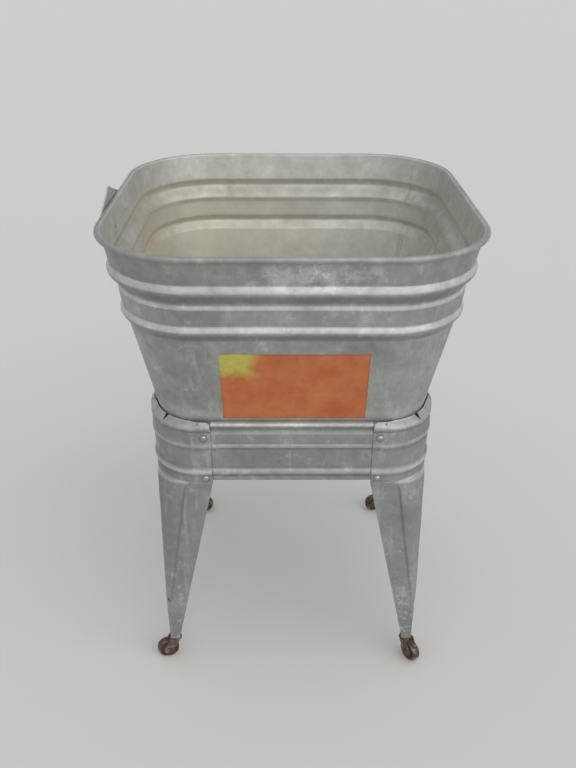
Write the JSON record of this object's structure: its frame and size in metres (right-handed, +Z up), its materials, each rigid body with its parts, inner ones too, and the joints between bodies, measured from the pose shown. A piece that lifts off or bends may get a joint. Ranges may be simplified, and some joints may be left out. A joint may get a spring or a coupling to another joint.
{
  "type": "washing tub on a rolling stand",
  "caption": "Rounded-square galvanised washing tub with swaged beads and a rolled rim, standing in a riveted four-legged stand on swivel casters; the tub lifts out.",
  "frame": {"origin": "floor level, under the middle of the tub", "axes": "+Z up, -Y towards the front, +X to the right seen from the front"},
  "size_m": [0.5611, 0.559, 0.8102],
  "materials": {
    "galvanised_tub": "weathered galvanised sheet",
    "galvanised_stand": "weathered galvanised sheet, scuffed near the feet",
    "galvanised_rivet": "galvanised dome rivet",
    "steel_wire": "drawn wire",
    "rusted_steel": "rusted pressed steel",
    "caster_wheel_iron": "worn dark iron",
    "drain_brass": "dull brass",
    "gasket_rubber": "black rubber"
  },
  "bodies": {
    "stand": {"rail_front": "galvanised_stand", "rail_back": "galvanised_stand", "rail_left": "galvanised_stand", "rail_right": "galvanised_stand", "leg_front_left": "galvanised_stand", "leg_front_right": "galvanised_stand", "leg_back_left": "galvanised_stand", "leg_back_right": "galvanised_stand", "frame_rivets": "galvanised_rivet", "caster_socket_front_left": "galvanised_stand", "caster_socket_front_right": "galvanised_stand", "caster_socket_back_left": "galvanised_stand", "caster_socket_back_right": "galvanised_stand"},
    "tub": {"tub_wall": "galvanised_tub", "rim_wire": "steel_wire", "tub_bottom": "galvanised_tub", "wall_seam": "galvanised_tub", "side_ear": "galvanised_tub", "ear_rivets": "galvanised_rivet", "drain_spud": "drain_brass", "drain_gasket": "gasket_rubber", "drain_nut": "drain_brass"},
    "caster_front_left": {"caster_stem_front_left": "rusted_steel", "caster_race_front_left": "rusted_steel", "caster_horn_front_left": "rusted_steel", "caster_axle_front_left": "rusted_steel"},
    "wheel_front_left": {"caster_wheel_front_left": "caster_wheel_iron"},
    "caster_front_right": {"caster_stem_front_right": "rusted_steel", "caster_race_front_right": "rusted_steel", "caster_horn_front_right": "rusted_steel", "caster_axle_front_right": "rusted_steel"},
    "wheel_front_right": {"caster_wheel_front_right": "caster_wheel_iron"},
    "caster_back_left": {"caster_stem_back_left": "rusted_steel", "caster_race_back_left": "rusted_steel", "caster_horn_back_left": "rusted_steel", "caster_axle_back_left": "rusted_steel"},
    "wheel_back_left": {"caster_wheel_back_left": "caster_wheel_iron"},
    "caster_back_right": {"caster_stem_back_right": "rusted_steel", "caster_race_back_right": "rusted_steel", "caster_horn_back_right": "rusted_steel", "caster_axle_back_right": "rusted_steel"},
    "wheel_back_right": {"caster_wheel_back_right": "caster_wheel_iron"}
  },
  "joints": [
    {"name": "tub_lift", "type": "slide", "parent": "stand", "child": "tub", "axis": [0, 0, 1], "range_m": [0, 0.15]},
    {"name": "swivel_front_left", "type": "hinge", "parent": "stand", "child": "caster_front_left", "pos_m": [-0.2081, -0.2081, 0.042], "axis": [0, 0, 1], "continuous": true},
    {"name": "wheel_spin_front_left", "type": "hinge", "parent": "caster_front_left", "child": "wheel_front_left", "pos_m": [-0.22287, -0.21071, 0.019], "axis": [0.1736, -0.9848, 0], "continuous": true},
    {"name": "swivel_front_right", "type": "hinge", "parent": "stand", "child": "caster_front_right", "pos_m": [0.2081, -0.2081, 0.042], "axis": [0, 0, 1], "continuous": true},
    {"name": "wheel_spin_front_right", "type": "hinge", "parent": "caster_front_right", "child": "wheel_front_right", "pos_m": [0.21671, -0.22039, 0.019], "axis": [0.8192, 0.5736, 0], "continuous": true},
    {"name": "swivel_back_left", "type": "hinge", "parent": "stand", "child": "caster_back_left", "pos_m": [-0.2081, 0.2081, 0.042], "axis": [0, 0, 1], "continuous": true},
    {"name": "wheel_spin_back_left", "type": "hinge", "parent": "caster_back_left", "child": "wheel_back_left", "pos_m": [-0.19333, 0.2055, 0.019], "axis": [0.1736, 0.9848, 0], "continuous": true},
    {"name": "swivel_back_right", "type": "hinge", "parent": "stand", "child": "caster_back_right", "pos_m": [0.2081, 0.2081, 0.042], "axis": [0, 0, 1], "continuous": true},
    {"name": "wheel_spin_back_right", "type": "hinge", "parent": "caster_back_right", "child": "wheel_back_right", "pos_m": [0.19316, 0.2068, 0.019], "axis": [0.0872, -0.9962, 0], "continuous": true}
  ]
}
